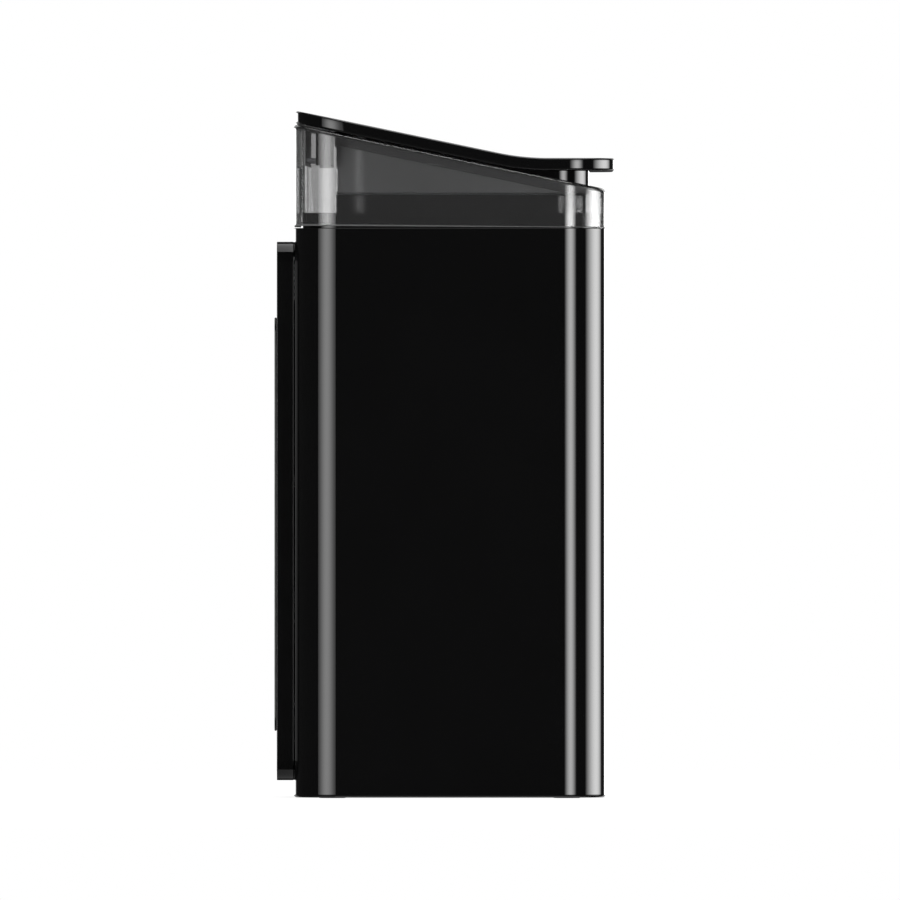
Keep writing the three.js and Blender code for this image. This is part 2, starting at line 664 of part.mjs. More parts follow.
/** The ram: a plate with raised ribs left between the bays cut into its top. */
function makeRam() {
  let plate = column(RAM_INSET, RAM_IN[0], RAM_BOTTOM, RAM_TOP, RAM_CORNER, BODY_DEPTH - RAM_IN[1]);
  const [rear, front] = RAM_BAY_IN;
  for (const [x0, x1] of RAM_BAYS) {
    plate = plate.subtract(block(x0, x1, yAt(front), yAt(rear), RAM_BOTTOM + RAM_FLOOR, RAM_TOP + 1));
  }
  part('ram_plate', plate, steel);
}

// ---- Gear drive -------------------------------------------------------------------------------

const involute = (angle) => Math.tan(angle) - angle;

/** Teeth of a gear as [radius, angle] points, for teeth centred on first, first + one pitch, and so on. */
function toothPoints(teeth, first, count) {
  const pitch = (MODULE * teeth) / 2;
  const base = pitch * Math.cos(PRESSURE_ANGLE);
  const root = pitch - 1.25 * MODULE;
  const tip = pitch + 0.8 * MODULE;
  const half = Math.PI / (2 * teeth) - BACKLASH / pitch + involute(PRESSURE_ANGLE);
  const steps = 4;
  const flank = [];
  const start = Math.max(base, root);
  for (let i = 0; i <= steps; i += 1) {
    const radius = start + ((tip - start) * i) / steps;
    flank.push([radius, half - involute(Math.acos(Math.min(1, base / radius)))]);
  }
  if (root < base) flank.unshift([root, half]);
  const outline = [];
  for (let k = 0; k < count; k += 1) {
    const centre = first + (k * 2 * Math.PI) / teeth;
    for (const [radius, offset] of flank) outline.push([radius, centre - offset]);
    for (const [radius, offset] of [...flank].reverse()) outline.push([radius, centre + offset]);
  }
  return outline;
}

/** Polar points about a centre as a shape; angles rise from straight forward. */
function polarShape(outline, [distanceIn, z]) {
  return profile(outline.map(
    ([radius, angle]) => [distanceIn + radius * Math.cos(angle), z + radius * Math.sin(angle)],
  ));
}

const centreDistance = (MODULE * (SECTOR_TEETH + PINION_TEETH)) / 2;
const pinionAt = [
  PIVOT_IN + centreDistance * Math.cos(MESH_ANGLE), PIVOT_Z + centreDistance * Math.sin(MESH_ANGLE),
];

function makeGears() {
  const [x0, x1] = plateX(GEAR_X, GEAR_FACE, 1);
  const pitchAngle = (2 * Math.PI) / SECTOR_TEETH;
  const teeth = toothPoints(SECTOR_TEETH, MESH_ANGLE - 2 * pitchAngle, 14);
  const sectorShape = polarShape([...teeth, [4, 1.6], [4, 0]], points.top);
  const sector = slab(sectorShape, x0, x1)
    .add(barX(9, x0, x1 + 3, yAt(PIVOT_IN), PIVOT_Z))
    .subtract(barX(SHAFT + GAP, x0 - 1, x1 + 5, yAt(PIVOT_IN), PIVOT_Z));
  part('sector_gear', sector, steel);

  const first = MESH_ANGLE + Math.PI + Math.PI / PINION_TEETH;
  const wheel = slab(polarShape(toothPoints(PINION_TEETH, first, PINION_TEETH), pinionAt), x0, x1);
  const spindle = barX(PINION_SHAFT, GEARBOX_X[1] - 6, x1 + 1, yAt(pinionAt[0]), pinionAt[1]);
  part('drive_pinion', wheel.add(spindle), brass);
}

function makeMotor() {
  const [distanceIn, z] = pinionAt;
  const y = yAt(distanceIn);
  const [x0, x1] = GEARBOX_X;
  const boss = barX(MOTOR_BOSS, MOTOR_BOSS_X, MOTOR_REAR_X + 1, y, z);
  const can = barX(MOTOR_CAN, MOTOR_REAR_X, x0 + 1, y, z).add(boss);
  const bore = barX(PINION_SHAFT + GAP, x1 - 8, x1 + 8, y, z);
  part('gearmotor', can.add(barX(GEARBOX, x0, x1, y, z)).subtract(bore), steel);
  const plate = block(x1 + GAP, x1 + 4, yAt(distanceIn + 20), yAt(distanceIn - 16), z - 12, COLLAR_REAR_TOP);
  part('motor_bracket', plate.intersect(underLid(GAP)).subtract(bore), steel);
}

// ---- Rear housing -----------------------------------------------------------------------------

const rearOutside = REAR + HOUSING_PROUD;
const rearInside = rearOutside - HOUSING_WALL;

/** A panel centred on x, z that runs y0 to y1. */
function plug([x, z], [halfX, halfZ], margin, radius, y0, y1) {
  const [wide, high] = [halfX + margin, halfZ + margin];
  return panelY(x - wide, x + wide, z - high, z + high, radius, y0, y1);
}

/** The removable cover's outline, brought in by an inset, as a panel that runs y0 to y1. */
function coverPanel(inset, radius, y0, y1) {
  const half = COVER_HALF - inset;
  return panelY(-half, half, COVER_Z[0] + inset, COVER_Z[1] - inset, radius, y0, y1);
}

function makeRearHousing() {
  const shell = (wall, y0, y1) => {
    const half = HOUSING_HALF - wall;
    return panelY(-half, half, HOUSING_Z[0] + wall, HOUSING_Z[1] - wall, HOUSING_CORNER - wall, y0, y1);
  };
  const past = rearOutside + 1;
  let housing = shell(0, REAR + GAP, rearOutside)
    .subtract(shell(HOUSING_WALL, REAR - 1, rearInside))
    .subtract(coverPanel(COVER_LIP - 1, 8, REAR, past))
    .subtract(plug(SWITCH_AT, SWITCH_HALF, 0.4, 1, REAR, past))
    .subtract(plug(INLET_AT, INLET_HALF, 0.4, 2, REAR, past));
  const firstVent = FAN_Z - 20;
  for (let row = 0; row < VENT_ROWS; row += 1) {
    const z = firstVent + row * VENT_PITCH;
    housing = housing.subtract(panelY(-30, 30, z, z + VENT_HEIGHT, 1.6, REAR + 5, past));
  }
  part('rear_housing', housing, black);
}

function makeServiceCover() {
  const face = coverPanel(0, COVER_CORNER, rearOutside + GAP, rearOutside + COVER_PROUD);
  const lip = coverPanel(COVER_LIP, 7, rearInside, rearOutside + 1);
  const hollow = coverPanel(COVER_LIP + 2, 5, rearInside - 1, rearOutside + GAP);
  part('service_cover', face.add(lip.subtract(hollow)), black);
}

/** A square frame with a round bore and a hub on three struts, and the bladed rotor that turns in it. */
function makeFan() {
  const y0 = REAR + 1;
  const y1 = y0 + FAN_DEPTH;
  const frame = panelY(-FAN_HALF, FAN_HALF, FAN_Z - FAN_HALF, FAN_Z + FAN_HALF, 4, y0, y1);
  let body = frame.subtract(barY(FAN_BORE, y0 - 1, y1 + 1, 0, FAN_Z, 40));
  body = body.add(barY(FAN_HUB, y0, y0 + 2, 0, FAN_Z));
  const struts = 3;
  for (let i = 0; i < struts; i += 1) {
    const strut = new THREE.BoxGeometry(FAN_BORE + 3, 2, 2.4).translate(FAN_BORE / 2 + 0.5, 0, 0);
    strut.rotateY((i * 2 * Math.PI) / struts + Math.PI / 2).translate(0, y0 + 1, FAN_Z);
    body = body.add(solid(strut));
  }
  part('fan_frame', body, satin);

  const blade = { long: 20, thick: 1.4, wide: 10, pitch: 0.55, centre: 19 };
  let rotor = barY(FAN_HUB + 1, y0 + 3, y1 - 1, 0, FAN_Z);
  for (let i = 0; i < FAN_BLADES; i += 1) {
    const vane = new THREE.BoxGeometry(blade.long, blade.thick, blade.wide).rotateX(blade.pitch);
    vane.translate(blade.centre, 0, 0).rotateY((i * 2 * Math.PI) / FAN_BLADES).translate(0, y0 + 7, FAN_Z);
    rotor = rotor.add(solid(vane));
  }
  part('fan_rotor', rotor, grey);
}

/** The charcoal filter, the ribbed power supply and the control board with its tall components. */
function makeElectrics() {
  const half = ELECTRICS_HALF;
  const y0 = REAR + 1;
  part('charcoal_filter', panelY(-half, half, ...FILTER_Z, 6, y0, y0 + 12), carbon);

  const [low, high] = SUPPLY_Z;
  const ribs = { count: 8, pitch: 16, wide: 6, deep: 1.5, margin: 10 };
  const top = y0 + 13;
  let supply = block(-half, half, y0, top, low, high);
  for (let i = 0; i < ribs.count; i += 1) {
    const x = -half + ribs.margin + i * ribs.pitch;
    const groove = block(x, x + ribs.wide, top - ribs.deep, top + 1, low + ribs.margin, high - ribs.margin);
    supply = supply.subtract(groove);
  }
  part('power_supply', supply, steel);

  const thick = 1.6;
  let board = block(-half, half, y0, y0 + thick, ...BOARD_AREA_Z);
  const components = [
    [-50, 120, 18, 14, 7], [-15, 130, 26, 26, 4], [30, 118, 12, 12, 10],
    [50, 150, 22, 30, 9], [-45, 170, 30, 16, 8], [5, 178, 14, 14, 3],
  ];
  for (const [x, z, wide, tall, deep] of components) {
    board = board.add(block(x - wide / 2, x + wide / 2, y0 + 1, y0 + thick + deep, z - tall / 2, z + tall / 2));
  }
  part('control_board', board, green);
}

/** A socket that sits just below the face of the rear case, held by a flange behind its wall. */
function makeInlet() {
  const [x, z] = INLET_AT;
  const face = rearOutside - 0.4;
  const flange = plug(INLET_AT, INLET_HALF, 3, 3, rearInside - 2, rearInside - GAP);
  let inlet = plug(INLET_AT, INLET_HALF, 0, 2, REAR + 3, face).add(flange);
  inlet = inlet.subtract(plug(INLET_AT, INLET_HALF, -2.1, 2, REAR + 6, face + 1));
  const pin = { halfX: 0.8, halfZ: 2 };
  for (const [dx, dz] of [[-7, -1.5], [0, 2], [7, -1.5]]) {
    inlet = inlet.add(plug([x + dx, z + dz], [pin.halfX, pin.halfZ], 0, 0.2, REAR + 5, face - 5));
  }
  part('mains_inlet', inlet, satin);
}

/** A rocker switch flush with the rear case: a body with a well, and a drum with a dished face. */
function makeSwitch() {
  const [x, z] = SWITCH_AT;
  const centreY = rearOutside - ROCKER - 0.1;
  const face = rearOutside - 0.4;
  const play = 0.4;
  const flange = plug(SWITCH_AT, SWITCH_HALF, 2.4, 2, rearInside - 2, rearInside - GAP);
  const body = plug(SWITCH_AT, SWITCH_HALF, 0, 1, REAR + 3, face).add(flange);
  const [wide, high] = [ROCKER_HALF + play, ROCKER + play];
  const well = block(x - wide, x + wide, centreY - 7, face + 1, z - high, z + high);
  part('switch_body', body.subtract(well), satin);

  const dish = { depth: 4.2, tilt: 0.28 };
  const drum = barX(ROCKER, x - ROCKER_HALF, x + ROCKER_HALF, centreY, z);
  const cutter = new THREE.BoxGeometry(30, 10, 20).translate(0, 5 + dish.depth, 0);
  const back = block(x - 15, x + 15, centreY - 10, centreY - ROCKER / 2, z - 10, z + 10);
  const hollow = solid(cutter.rotateX(dish.tilt).translate(x, centreY, z));
  part('power_rocker', drum.subtract(hollow).subtract(back), black);
}

makeBase();
makeShell();
makeBucket();
makeDeck();
makeHopperRing();
makeCollar();
makeHingeHousing();
bothSides(makeHingeArm);
makeLidPanel();
makeButtons();
makePlugFrame();
makeDriveHousing();
makeLock();
makeArms();
makeShafts();
makeTracks();
makeBrackets();
makeRam();
makeGears();
makeMotor();
makeRearHousing();
makeServiceCover();
makeFan();
makeElectrics();
makeInlet();
makeSwitch();

export default scene;
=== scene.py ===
"""Looks for the household trash compactor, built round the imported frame.

Every visible piece is made here: the large glossy shells from smooth swept outlines, and the machined and
moulded inner parts as refined copies of their CAD solids. Lengths are in metres.
"""

import json
import math

import bmesh
import bpy
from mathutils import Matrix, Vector

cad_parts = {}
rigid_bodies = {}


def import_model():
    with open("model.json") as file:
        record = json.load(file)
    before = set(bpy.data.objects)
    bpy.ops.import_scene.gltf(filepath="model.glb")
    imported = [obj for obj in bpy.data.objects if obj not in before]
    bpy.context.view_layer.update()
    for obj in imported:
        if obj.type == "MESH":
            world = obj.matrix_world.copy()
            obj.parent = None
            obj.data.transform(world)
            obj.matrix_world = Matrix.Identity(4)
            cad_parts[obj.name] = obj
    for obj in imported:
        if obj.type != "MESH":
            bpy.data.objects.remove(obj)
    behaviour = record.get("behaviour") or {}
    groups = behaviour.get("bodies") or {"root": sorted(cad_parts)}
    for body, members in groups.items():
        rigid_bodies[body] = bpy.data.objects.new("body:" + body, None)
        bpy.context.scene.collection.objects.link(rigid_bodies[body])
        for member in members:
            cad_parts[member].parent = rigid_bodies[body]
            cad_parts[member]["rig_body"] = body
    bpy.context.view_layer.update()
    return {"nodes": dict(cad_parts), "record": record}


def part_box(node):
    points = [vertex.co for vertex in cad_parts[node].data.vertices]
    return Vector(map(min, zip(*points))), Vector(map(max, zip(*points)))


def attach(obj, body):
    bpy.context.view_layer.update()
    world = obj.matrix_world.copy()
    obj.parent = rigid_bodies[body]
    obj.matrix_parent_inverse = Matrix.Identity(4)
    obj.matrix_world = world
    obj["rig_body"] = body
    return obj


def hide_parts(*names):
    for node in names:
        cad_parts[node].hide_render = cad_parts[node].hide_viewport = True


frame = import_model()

MM = 0.001

# Driving dimensions that the frame's boxes don't give
CORNER = 45 * MM
LID_SLOPE = 0.2083
LID_TILT = math.atan(LID_SLOPE)
LID_THICK = 12.9 * MM
LID_ARC = 259 * MM
LID_EDGE = 2.2 * MM
COLLAR_WALL = 3 * MM
COLLAR_REAR_TOP = 715.9 * MM
COLLAR_FRONT_BOTTOM = 606 * MM
COLLAR_REAR_BOTTOM = 607.9 * MM
BODY_FOOT = 3.2 * MM
COLLAR_FOOT = 0.8 * MM
MOUTH_INSET = 10.2 * MM
PLUG_BAND = 13 * MM
HINGE_X = 60 * MM
HINGE_IN = 8.6 * MM
BUTTON_RADIUS = 7 * MM
BAY_ROOF = 672.5 * MM
SCREW_RADIUS = 3.6 * MM
SCREW_IN = 14 * MM
VENT_ROWS = 7
VENT_LOW = 530 * MM
VENT_PITCH = 7 * MM
VENT_SLOT = 3.4 * MM
VENT_HALF = 30 * MM
SMOKE_PER_METRE = 172

BODY_LOW, BODY_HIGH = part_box("outer_shell")
LID_LOW, LID_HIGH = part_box("lid_panel")
HALF = BODY_HIGH.x
FRONT, REAR = BODY_LOW.y, BODY_HIGH.y
LID_REAR_TOP = 730 * MM
LID_FLAT_TOP = LID_LOW.z + LID_THICK


# ---- Lines that the lid and collar share --------------------------------------------------------

def collar_top(y):
    """Height of the collar's sloped top edge."""
    return COLLAR_REAR_TOP - LID_SLOPE * (REAR - y)


def collar_bottom(y):
    """Height of the collar's lower edge, which lifts a little towards the rear."""
    share = (REAR - y) / (REAR - FRONT)
    return COLLAR_REAR_BOTTOM + (COLLAR_FRONT_BOTTOM - COLLAR_REAR_BOTTOM) * share


def lid_face(depth):
    """The height of the lid's face that lies a depth below its top, as a function of y."""
    bend = LID_HIGH.y - (LID_REAR_TOP - LID_FLAT_TOP) / LID_SLOPE
    centre_y = bend - LID_ARC * math.tan(LID_TILT / 2)
    centre_z = LID_FLAT_TOP + LID_ARC
    radius = LID_ARC + depth

    def height(y):
        if y <= centre_y:
            return LID_FLAT_TOP - depth
        if y <= centre_y + radius * math.sin(LID_TILT):
            return centre_z - math.sqrt(radius**2 - (y - centre_y) ** 2)
        return LID_REAR_TOP - LID_SLOPE * (LID_HIGH.y - y) - depth / math.cos(LID_TILT)

    return height


def level(z):
    """A flat height."""
    return lambda y: z


# ---- Mesh building ------------------------------------------------------------------------------

def outline(half, y0, y1, radius, steps=24, runs=6):
    """A rounded rectangle as (x, y, normal x, normal y) points, anticlockwise from its front corner at +X."""
    corners = [(half - radius, y0 + radius, -90), (half - radius, y1 - radius, 0),
               (-half + radius, y1 - radius, 90), (-half + radius, y0 + radius, 180)]
    points = []
    for cx, cy, start in corners:
        for i in range(steps + 1):
            angle = math.radians(start + 90 * i / steps)
            nx, ny = math.cos(angle), math.sin(angle)
            points.append((cx + radius * nx, cy + radius * ny, nx, ny))
    filled = []
    for i, a in enumerate(points):
        filled.append(a)
        b = points[(i + 1) % len(points)]
        if math.dist(a[:2], b[:2]) > 4 * radius / steps:
            for k in range(1, runs):
                t = k / runs
                filled.append((a[0] + (b[0] - a[0]) * t, a[1] + (b[1] - a[1]) * t, a[2], a[3]))
    return filled


def quarter(offset, z_of, dz, radius, start, steps=5):
    """Stations of a quarter-round edge about an offset and a height; start is its first angle in degrees."""
    stations = []
    for i in range(steps + 1):
        angle = math.radians(start + 90 * i / steps)
        stations.append((offset + radius * math.cos(angle), z_of, dz + radius * math.sin(angle)))
    return stations


def bridge(bm, low, high):
    """Quads between two rings of vertices."""
    count = len(low)
    for i in range(count):
        bm.faces.new((low[i], low[(i + 1) % count], high[(i + 1) % count], high[i]))


def tube_wall(points, stations):
    """A closed wall along an outline; its stations are (offset, height function, height added)."""
    bm = bmesh.new()
    rings = []
    for offset, z_of, dz in stations:
        ring = []
        for x, y, nx, ny in points:
            py = y + ny * offset
            ring.append(bm.verts.new((x + nx * offset, py, z_of(py) + dz)))
        rings.append(ring)
    for low, high in zip(rings, rings[1:] + rings[:1]):
        bridge(bm, low, high)
    return bm


def wall_stations(bottom, top, wall, soft_low, soft_high):
    """The section of an upright wall with soft edges, its outer face at offset 0."""
    soft_in = min(soft_high, wall * 0.4)
    return (
        quarter(-soft_low, bottom, soft_low, soft_low, -90)
        + quarter(-soft_high, top, -soft_high, soft_high, 0)
        + quarter(-wall + soft_in, top, -soft_in, soft_in, 90)
        + [(-wall, bottom, 0)]
    )


def plate(half, y0, y1, radius, bottom, top, edge, to_world=None, columns=24, spans=30, steps=16):
    """A plate with a rounded plan and rounded edges, whose two faces have heights that are functions of y."""
    bm = bmesh.new()
    place = to_world or (lambda x, y, z: (x, y, z))
    half, y0, y1, radius = half - edge, y0 + edge, y1 - edge, radius - edge
    rows = []
    for i in range(steps + 1):
        angle = math.radians(90 * i / steps)
        rows.append((y0 + radius - radius * math.cos(angle), half - radius + radius * math.sin(angle), angle))
    for i in range(1, spans):
        rows.append((y0 + radius + (y1 - y0 - 2 * radius) * i / spans, half, math.pi / 2))
    for i in range(steps + 1):
        angle = math.radians(90 * i / steps)
        rows.append((y1 - radius + radius * math.sin(angle), half - radius + radius * math.cos(angle),
                     math.pi / 2 + angle))

    def grid(z_of):
        return [[bm.verts.new(place(wide * half_share(c, columns), y, z_of(y))) for c in range(columns + 1)]
                for y, wide, angle in rows]

    def rim(cells):
        right = [row[-1] for row in cells]
        left = [row[0] for row in cells]
        return cells[0][1:-1] + right + cells[-1][1:-1][::-1] + left[::-1]

    upper, lower = grid(top), grid(bottom)
    for cells, flip in ((upper, False), (lower, True)):
        for a, b in zip(cells, cells[1:]):
            for c in range(columns):
                corners = (a[c], a[c + 1], b[c + 1], b[c])
                bm.faces.new(corners[::-1] if flip else corners)

    front_x = [half_share(c, columns) * rows[0][1] for c in range(1, columns)]
    back_x = [half_share(c, columns) * rows[-1][1] for c in range(1, columns)]
    spots = [(x, rows[0][0], 0, -1) for x in front_x]
    spots += [(w, y, math.sin(a), -math.cos(a)) for y, w, a in rows]
    spots += [(x, rows[-1][0], 0, 1) for x in back_x[::-1]]
    spots += [(-w, y, -math.sin(a), -math.cos(a)) for y, w, a in rows[::-1]]
    stations = quarter(0, bottom, edge, edge, -90)[1:] + quarter(0, top, -edge, edge, 0)[:-1]
    previous = rim(lower)
    for offset, z_of, dz in stations:
        ring = []
        for x, y, nx, ny in spots:
            py = y + ny * offset
            ring.append(bm.verts.new(place(x + nx * offset, py, z_of(py) + dz)))
        bridge(bm, previous, ring)
        previous = ring
    bridge(bm, previous, rim(upper))
    return bm


def half_share(index, count):
    """A column's place from -1 to 1."""
    return 2 * index / count - 1


def cylinder(radius, low, high, centre, axis="z", edge=0.0004, steps=48):
    """A solid cylinder with softened rims along one axis; low and high are its ends on that axis."""
    bm = bmesh.new()
    section = [(radius - edge, low), (radius - edge * 0.3, low + edge * 0.3), (radius, low + edge),
               (radius, high - edge), (radius - edge * 0.3, high - edge * 0.3), (radius - edge, high)]
    rings = []
    for r, h in section:
        ring = []
        for i in range(steps):
            u, v = r * math.cos(math.tau * i / steps), r * math.sin(math.tau * i / steps)
            spot = {"z": (u, v, h), "y": (v, h, u), "x": (h, u, v)}[axis]
            ring.append(bm.verts.new(tuple(a + b for a, b in zip(spot, centre))))
        rings.append(ring)
    for a, b in zip(rings, rings[1:]):
        bridge(bm, a, b)
    bm.faces.new(rings[0][::-1])
    bm.faces.new(rings[-1])
    return bm


def boxes(*corners):
    """Plain boxes between pairs of corners, for cutting."""
    bm = bmesh.new()
    for low, high in corners:
        made = bmesh.ops.create_cube(bm, size=1)["verts"]
        for v in made:
            v.co = Vector([low[k] if v.co[k] < 0 else high[k] for k in range(3)])
    return bm


def prism(x0, x1, side):
    """A solid that keeps one side view, a list of (y, z) corners, from x0 to x1."""
    bm = bmesh.new()
    left = [bm.verts.new((x0, y, z)) for y, z in side]
    right = [bm.verts.new((x1, y, z)) for y, z in side]
    bridge(bm, left, right)
    bm.faces.new(left[::-1])
    bm.faces.new(right)
    return bm


def as_object(bm, name):
    """A linked object from a mesh, with its faces turned outwards."""
    bmesh.ops.recalc_face_normals(bm, faces=bm.faces)
    mesh = bpy.data.meshes.new(name)
    bm.to_mesh(mesh)
    bm.free()
    thing = bpy.data.objects.new(name, mesh)
    bpy.context.scene.collection.objects.link(thing)
    return thing


def cut(bm, *tools):
    """The mesh less each tool mesh."""
    body = as_object(bm, "cut_body")
    for tool in tools:
        cutter = as_object(tool, "cut_tool")
        modifier = body.modifiers.new("cut", "BOOLEAN")
        modifier.operation = "DIFFERENCE"
        modifier.solver = "EXACT"
        modifier.object = cutter
        bpy.context.view_layer.update()
        done = body.evaluated_get(bpy.context.evaluated_depsgraph_get())
        result = bpy.data.meshes.new_from_object(done)
        body.modifiers.clear()
        body.data = result
        bpy.data.objects.remove(cutter)
    out = bmesh.new()
    out.from_mesh(body.data)
    bpy.data.objects.remove(body)
    return out


def piece(bm, name, body, material, stands_for=(), bevel=0.0, sharp=32):
    """Makes a finished visible piece that rides on a body."""
    thing = as_object(bm, name)
    thing.data.materials.append(material)
    thing.data.polygons.foreach_set("use_smooth", [True] * len(thing.data.polygons))
    if bevel:
        soften = thing.modifiers.new("soft_edges", "BEVEL")
        soften.width = bevel
        soften.segments = 2
        soften.limit_method = "ANGLE"
        soften.angle_limit = math.radians(40)
    else:
        thing.data.set_sharp_from_angle(angle=math.radians(sharp))
    weighted = thing.modifiers.new("normals", "WEIGHTED_NORMAL")
    weighted.keep_sharp = True
    weighted.weight = 100
    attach(thing, body)
    for node in stands_for:
        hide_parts(node)
    return thing


def refined(node, material, bevel=0.0004):
    """A finished copy of a CAD solid: flat faces joined up, edges broken, round faces shaded smooth."""
    source = frame["nodes"][node]
    bm = bmesh.new()
    bm.from_mesh(source.data)
    bmesh.ops.remove_doubles(bm, verts=bm.verts, dist=1e-6)
    bmesh.ops.dissolve_limit(bm, angle_limit=math.radians(1), verts=bm.verts, edges=bm.edges)
    for layer in list(bm.loops.layers.float_vector.values()):
        bm.loops.layers.float_vector.remove(layer)
    return piece(bm, f"fine_{node}", source["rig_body"], material, [node], bevel)


# ---- Materials ----------------------------------------------------------------------------------

def surface(name, colour, rough, metal=0.0, rough_spread=0.04, tone_spread=0.08, tone_scale=9.0,
            grain_scale=900.0, grain=0.02, coat=0.0, stretch=None):
    """A material with drifting tone and roughness and a fine grain, all from noise in object space."""
    material = bpy.data.materials.new(name)
    material.use_nodes = True
    nodes, links = material.node_tree.nodes, material.node_tree.links
    shader = nodes["Principled BSDF"]
    shader.inputs["Metallic"].default_value = metal
    shader.inputs["Coat Weight"].default_value = coat
    shader.inputs["Coat Roughness"].default_value = 0.025
    space = nodes.new("ShaderNodeTexCoord")
    scale = nodes.new("ShaderNodeMapping")
    scale.inputs["Scale"].default_value = stretch or (1, 1, 1)
    links.new(space.outputs["Object"], scale.inputs["Vector"])

    def noise(size, detail):
        texture = nodes.new("ShaderNodeTexNoise")
        texture.inputs["Scale"].default_value = size
        texture.inputs["Detail"].default_value = detail
        links.new(scale.outputs["Vector"], texture.inputs["Vector"])
        return texture.outputs["Fac"]

    tone = nodes.new("ShaderNodeValToRGB")
    for element, share in zip(tone.color_ramp.elements, (1 - tone_spread, 1 + tone_spread)):
        element.color = (*[min(1, c * share) for c in colour], 1)
    tone.color_ramp.elements[0].position = 0.3
    tone.color_ramp.elements[1].position = 0.7
    links.new(noise(tone_scale, 3), tone.inputs["Fac"])
    links.new(tone.outputs["Color"], shader.inputs["Base Color"])

    spread = nodes.new("ShaderNodeMapRange")
    spread.inputs["To Min"].default_value = max(0.0, rough - rough_spread)
    spread.inputs["To Max"].default_value = rough + rough_spread
    links.new(noise(tone_scale * 4, 4), spread.inputs["Value"])
    links.new(spread.outputs["Result"], shader.inputs["Roughness"])

    bump = nodes.new("ShaderNodeBump")
    bump.inputs["Strength"].default_value = grain
    bump.inputs["Distance"].default_value = 0.0004
    links.new(noise(grain_scale, 2), bump.inputs["Height"])
    links.new(bump.outputs["Normal"], shader.inputs["Normal"])
    return material


def smoky_plastic():
    """Clear grey polycarbonate with a polished skin, darker where the view passes along its walls."""
    material = surface("smoky_polycarbonate", (0.97, 0.97, 0.972), 0.03, rough_spread=0.01, tone_spread=0.01,
                       tone_scale=5, grain_scale=60, grain=0.003, coat=0.4)
    nodes, links = material.node_tree.nodes, material.node_tree.links
    shader = nodes["Principled BSDF"]
    shader.inputs["Transmission Weight"].default_value = 0.979
    shader.inputs["IOR"].default_value = 1.5
    smoke = nodes.new("ShaderNodeVolumeAbsorption")
    smoke.inputs["Color"].default_value = (0.0, 0.0, 0.0, 1)
    smoke.inputs["Density"].default_value = SMOKE_PER_METRE
    links.new(smoke.outputs["Volume"], nodes["Material Output"].inputs["Volume"])
    return material


def carbon_foam():
    """Open charcoal foam: a cellular surface with deep dark pores."""
    material = surface("carbon_foam", (0.03, 0.031, 0.033), 0.95, grain_scale=260, grain=0.3)
    nodes, links = material.node_tree.nodes, material.node_tree.links
    cells = nodes.new("ShaderNodeTexVoronoi")
    cells.inputs["Scale"].default_value = 420
    bump = nodes["Bump"]
    bump.inputs["Strength"].default_value = 0.9
    bump.inputs["Distance"].default_value = 0.002
    links.new(cells.outputs["Distance"], bump.inputs["Height"])
    return material


def make_materials():
    """Every material by its slot or part."""
    brushed = (1, 12, 1)
    return {
        "shell": surface("black_lacquer", (0.0028, 0.0028, 0.0029), 0.045, rough_spread=0.01, grain_scale=55,
                         grain=0.003),
        "lid": surface("black_gloss_lid", (0.0028, 0.0028, 0.0029), 0.045, rough_spread=0.01, grain_scale=70,
                       grain=0.003),
        "plug": surface("black_gloss_trim", (0.0028, 0.0028, 0.0029), 0.07, rough_spread=0.015,
                        grain_scale=90, grain=0.004),
        "plug_skirt": surface("satin_trim", (0.14, 0.141, 0.143), 0.42, grain_scale=1500, grain=0.02),
        "rear_case": surface("black_gloss_case", (0.0018, 0.0018, 0.0019), 0.06, rough_spread=0.015,
                             grain_scale=80, grain=0.004),
        "smoke": smoky_plastic(),
        # a pale grey whose brightness is a painted highlight along the collar's lower edge
        "painted_highlight_strip": surface("pale_strip_painted_highlight", (0.2, 0.2, 0.2), 0.6, grain_scale=600, grain=0.05),
        "housing_grey": surface("grey_moulding", (0.42, 0.422, 0.426), 0.09, rough_spread=0.02,
                                grain_scale=1500, grain=0.01),
        "satin_black": surface("satin_black_moulding", (0.009, 0.009, 0.0095), 0.34, grain_scale=1700,
                               grain=0.10),
        "bucket": surface("bucket_moulding", (0.035, 0.036, 0.038), 0.48, grain_scale=1300, grain=0.12),
        "rubber": surface("black_rubber", (0.012, 0.012, 0.012), 0.82, grain_scale=800, grain=0.25),
        "steel": surface("zinc_plate", (0.46, 0.47, 0.49), 0.32, metal=1, grain_scale=500, grain=0.05,
                         stretch=brushed),
        "motor_metal": surface("plated_can", (0.36, 0.37, 0.385), 0.4, metal=1, grain_scale=700, grain=0.05),
        "ram_metal": surface("brushed_stainless", (0.5, 0.51, 0.52), 0.3, metal=1, grain_scale=600,
                             grain=0.09, stretch=(14, 1, 1)),
        "brass": surface("machined_brass", (0.62, 0.45, 0.19), 0.28, metal=1, grain_scale=600, grain=0.05),
        "nylon": surface("natural_nylon", (0.68, 0.67, 0.62), 0.42, grain_scale=900, grain=0.06),
        "button_light": surface("light_button", (0.55, 0.56, 0.57), 0.22, grain_scale=900, grain=0.03,
                                coat=0.3),
        "circuit_board": surface("solder_mask", (0.012, 0.11, 0.045), 0.35, tone_spread=0.3, tone_scale=160,
                                 grain_scale=450, grain=0.15),
        "carbon_foam": carbon_foam(),
        "fan_plastic": surface("fan_moulding", (0.02, 0.02, 0.021), 0.4, grain_scale=1200, grain=0.08),
        "rocker": surface("gloss_rocker", (0.006, 0.006, 0.0065), 0.14, grain_scale=500, grain=0.02,
                          coat=0.4),
    }


# ---- Shells -------------------------------------------------------------------------------------

def plan(inset, rear_inset=None, steps=24):
    """The body's plan outline, inset by a distance, as outline points."""
    rear = inset if rear_inset is None else rear_inset
    return outline(HALF - inset, FRONT + inset, REAR - rear, CORNER - inset, steps)


